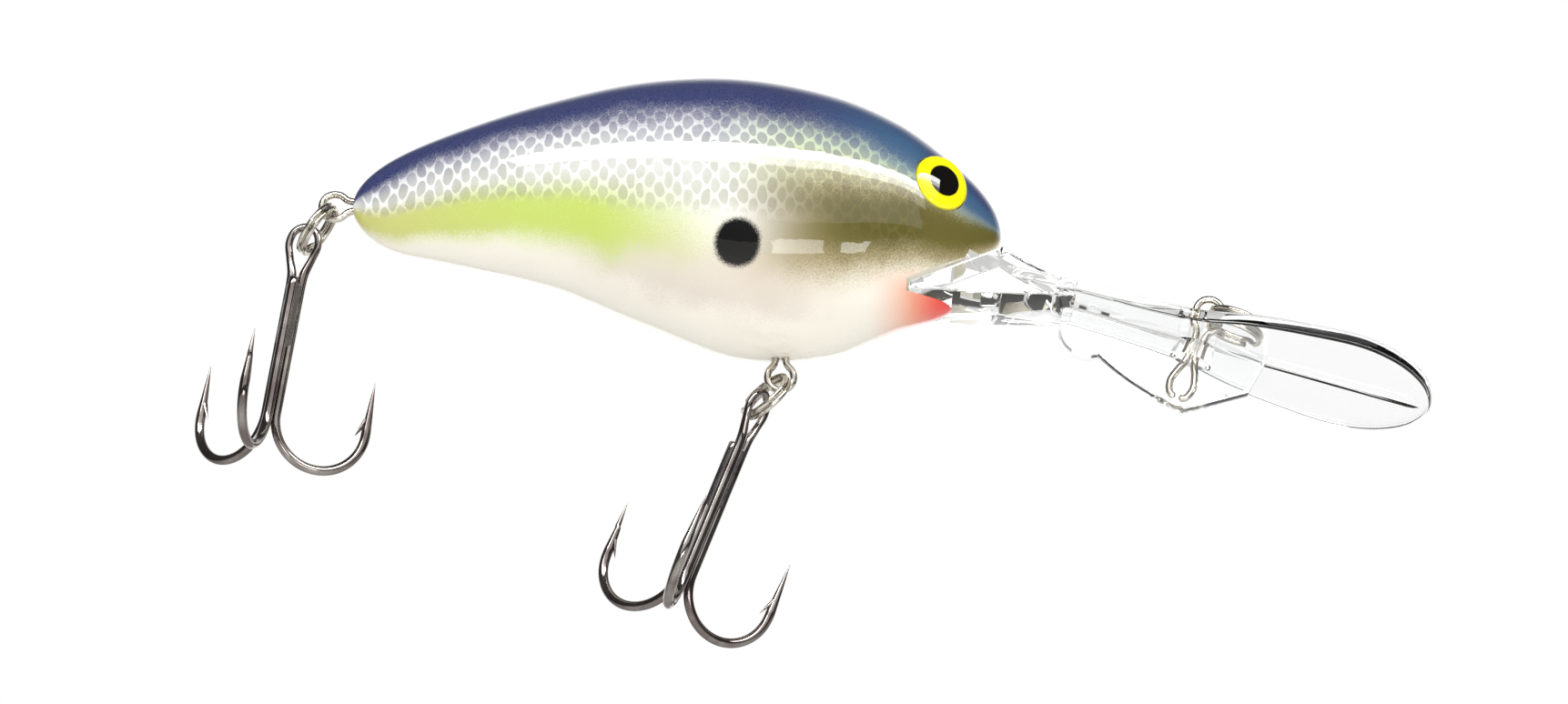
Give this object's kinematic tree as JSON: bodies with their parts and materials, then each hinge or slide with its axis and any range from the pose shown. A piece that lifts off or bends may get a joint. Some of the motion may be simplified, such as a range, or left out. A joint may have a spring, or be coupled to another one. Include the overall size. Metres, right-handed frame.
{
  "type": "crankbait lure",
  "caption": "Deep-diving crankbait: hollow fish-shaped body, clear diving lip with a wire line tie, split rings and hanging treble hooks.",
  "frame": {"origin": "centre of the line-tie eye, on the mid plane", "axes": "+X forward past the diving lip, +Y to the fish's left, +Z towards the back"},
  "size_m": [0.144, 0.0316, 0.068],
  "materials": {
    "painted_body": "sprayed scale pattern under gloss clear coat",
    "clear_lip": "clear moulded, polished",
    "nickel_wire": "bright nickel plate",
    "black_nickel": "black nickel plate",
    "yellow_eye": "gloss domed",
    "steel_weight": "plain ground steel"
  },
  "bodies": {
    "lure": {"body_shell_right": "painted_body", "body_shell_left": "painted_body", "diving_lip": "clear_lip", "line_tie_wire": "nickel_wire", "belly_hanger": "nickel_wire", "tail_hanger": "nickel_wire", "eye_right": "yellow_eye", "eye_left": "yellow_eye", "ballast_front": "steel_weight", "ballast_rear": "steel_weight"},
    "line_ring": {"line_ring": "nickel_wire"},
    "belly_ring": {"belly_ring": "nickel_wire"},
    "belly_treble": {"belly_treble_double": "black_nickel", "belly_treble_single": "black_nickel"},
    "tail_ring": {"tail_ring": "nickel_wire"},
    "tail_treble": {"tail_treble_double": "black_nickel", "tail_treble_single": "black_nickel"},
    "rattle_ball_front": {"rattle_ball_front": "steel_weight"},
    "rattle_ball_middle": {"rattle_ball_middle": "steel_weight"},
    "rattle_ball_rear": {"rattle_ball_rear": "steel_weight"}
  },
  "joints": [
    {"name": "line_ring_swing", "type": "hinge", "parent": "lure", "child": "line_ring", "pos_m": [0.00019, 0, -0.00007], "axis": [0, -1, 0], "range_deg": [-14, 204]},
    {"name": "belly_ring_swing", "type": "hinge", "parent": "lure", "child": "belly_ring", "pos_m": [-0.05, -0.00007, -0.00812], "axis": [-0.5865, 0.8099, 0.0124], "range_deg": [-65, 55]},
    {"name": "belly_treble_swing", "type": "hinge", "parent": "belly_ring", "child": "belly_treble", "pos_m": [-0.05319, -0.0023, -0.01315], "axis": [-0.4652, -0.866, 0.1832], "range_deg": [-20, 45]},
    {"name": "tail_ring_swing", "type": "hinge", "parent": "lure", "child": "tail_ring", "pos_m": [-0.10231, 0, 0.01279], "axis": [0, 1, 0], "range_deg": [-50, 105]},
    {"name": "tail_treble_swing", "type": "hinge", "parent": "tail_ring", "child": "tail_treble", "pos_m": [-0.10594, 0, 0.00756], "axis": [0.9794, -0.1392, -0.1464], "range_deg": [-38, 45]},
    {"name": "rattle_front_slide", "type": "slide", "parent": "lure", "child": "rattle_ball_front", "axis": [0, 1, 0], "range_m": [-0.0072, 0.0072]},
    {"name": "rattle_middle_slide", "type": "slide", "parent": "lure", "child": "rattle_ball_middle", "axis": [0, 1, 0], "range_m": [-0.0062, 0.0062]},
    {"name": "rattle_rear_slide", "type": "slide", "parent": "lure", "child": "rattle_ball_rear", "axis": [0, 1, 0], "range_m": [-0.0052, 0.0052]}
  ]
}
